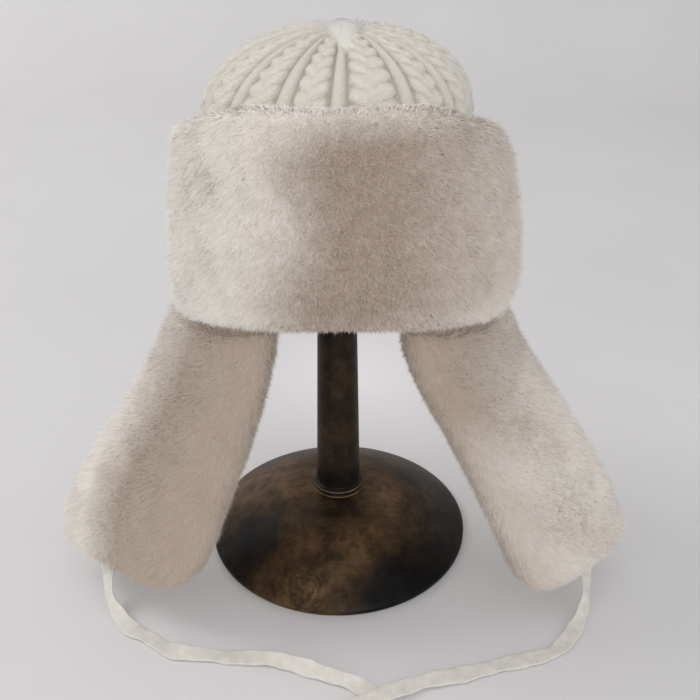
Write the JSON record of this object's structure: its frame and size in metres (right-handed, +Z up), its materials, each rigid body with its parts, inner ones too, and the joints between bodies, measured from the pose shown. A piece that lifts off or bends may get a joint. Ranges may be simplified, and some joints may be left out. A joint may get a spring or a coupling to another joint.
{
  "type": "cable-knit trapper hat with plush earflaps and ties, on a turned wooden hat stand",
  "caption": "Cream cable-knit trapper hat with a deep plush cuff, long plush earflaps and cloth ties, shown on a dark turned wooden stand.",
  "frame": {"origin": "middle of the underside of the stand's foot, on the floor", "axes": "+X to the right of the view from the front, -Y the hat's front, +Z up"},
  "size_m": [0.4511, 0.3319, 0.42],
  "materials": {
    "cream_knit": "chunky cable knit, matt",
    "beige_plush": "dense long-pile plush with pale tips",
    "cream_tape": "soft woven cloth tape, matt",
    "dark_wood": "dark walnut stain with worn gloss varnish"
  },
  "bodies": {
    "root": {"crown": "cream_knit", "front_cuff": "beige_plush", "back_band": "beige_plush", "flap_left": "beige_plush", "flap_right": "beige_plush", "tie_left": "cream_tape", "tie_right": "cream_tape", "stand_base": "dark_wood", "stand_post": "dark_wood", "stand_top": "dark_wood"}
  },
  "joints": []
}
